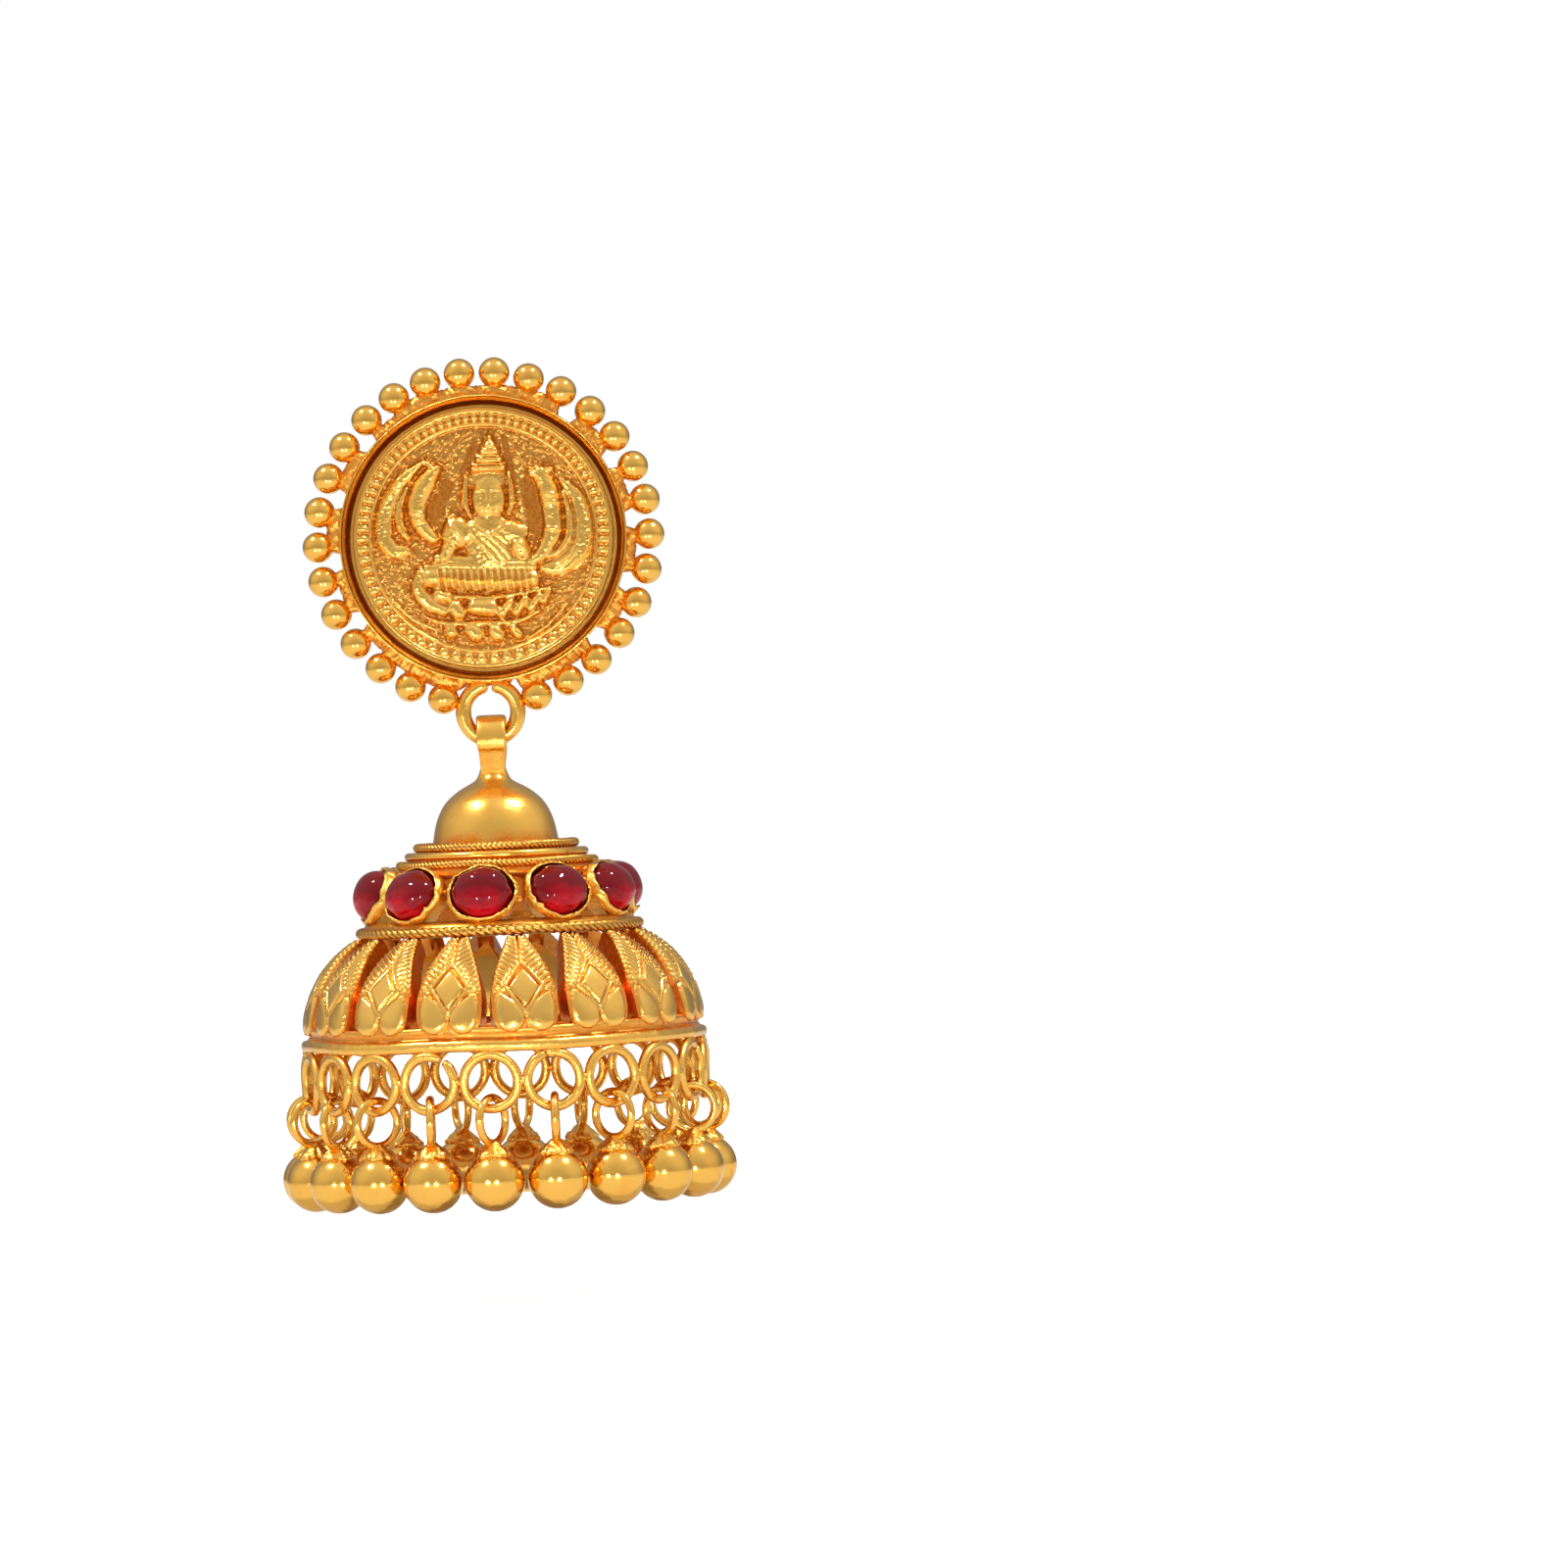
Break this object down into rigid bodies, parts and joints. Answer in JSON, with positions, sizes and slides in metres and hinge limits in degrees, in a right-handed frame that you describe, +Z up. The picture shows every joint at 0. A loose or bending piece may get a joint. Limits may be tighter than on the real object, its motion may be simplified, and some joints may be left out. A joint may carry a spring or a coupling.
{
  "type": "jhumka earring",
  "caption": "Gold jhumka earring: struck coin stud in a granule halo, hinged over a pierced leaf bell with red cabochons and a fringe of hanging balls.",
  "frame": {"origin": "middle of the stud's back face, which lies on the ear lobe, where the post leaves it", "axes": "+Z up as worn, +Y backwards along the ear post, -Y the way the coin faces"},
  "size_m": [0.0204, 0.0214, 0.0378],
  "materials": {
    "gold": "22-carat yellow gold, satin, with darker recesses",
    "ruby": "polished deep red cabochon, almost opaque"
  },
  "bodies": {
    "stud": {"stud_frame": "gold", "coin": "gold", "ear_post": "gold"},
    "bell": {"jhumka_bell": "gold", "ruby_01": "ruby", "ruby_02": "ruby", "ruby_03": "ruby", "ruby_04": "ruby", "ruby_05": "ruby", "ruby_06": "ruby", "ruby_07": "ruby", "ruby_08": "ruby", "ruby_09": "ruby", "ruby_10": "ruby", "drop_01": "gold", "drop_02": "gold", "drop_03": "gold", "drop_04": "gold", "drop_05": "gold", "drop_06": "gold", "drop_07": "gold", "drop_08": "gold", "drop_09": "gold", "drop_10": "gold", "drop_11": "gold", "drop_12": "gold", "drop_13": "gold", "drop_14": "gold", "drop_15": "gold", "drop_16": "gold", "drop_17": "gold", "drop_18": "gold", "drop_19": "gold", "drop_20": "gold"}
  },
  "joints": [
    {"name": "bell_swing", "type": "hinge", "parent": "stud", "child": "bell", "pos_m": [0, -0.00075, -0.00901], "axis": [1, 0, 0], "range_deg": [-126, 87]}
  ]
}
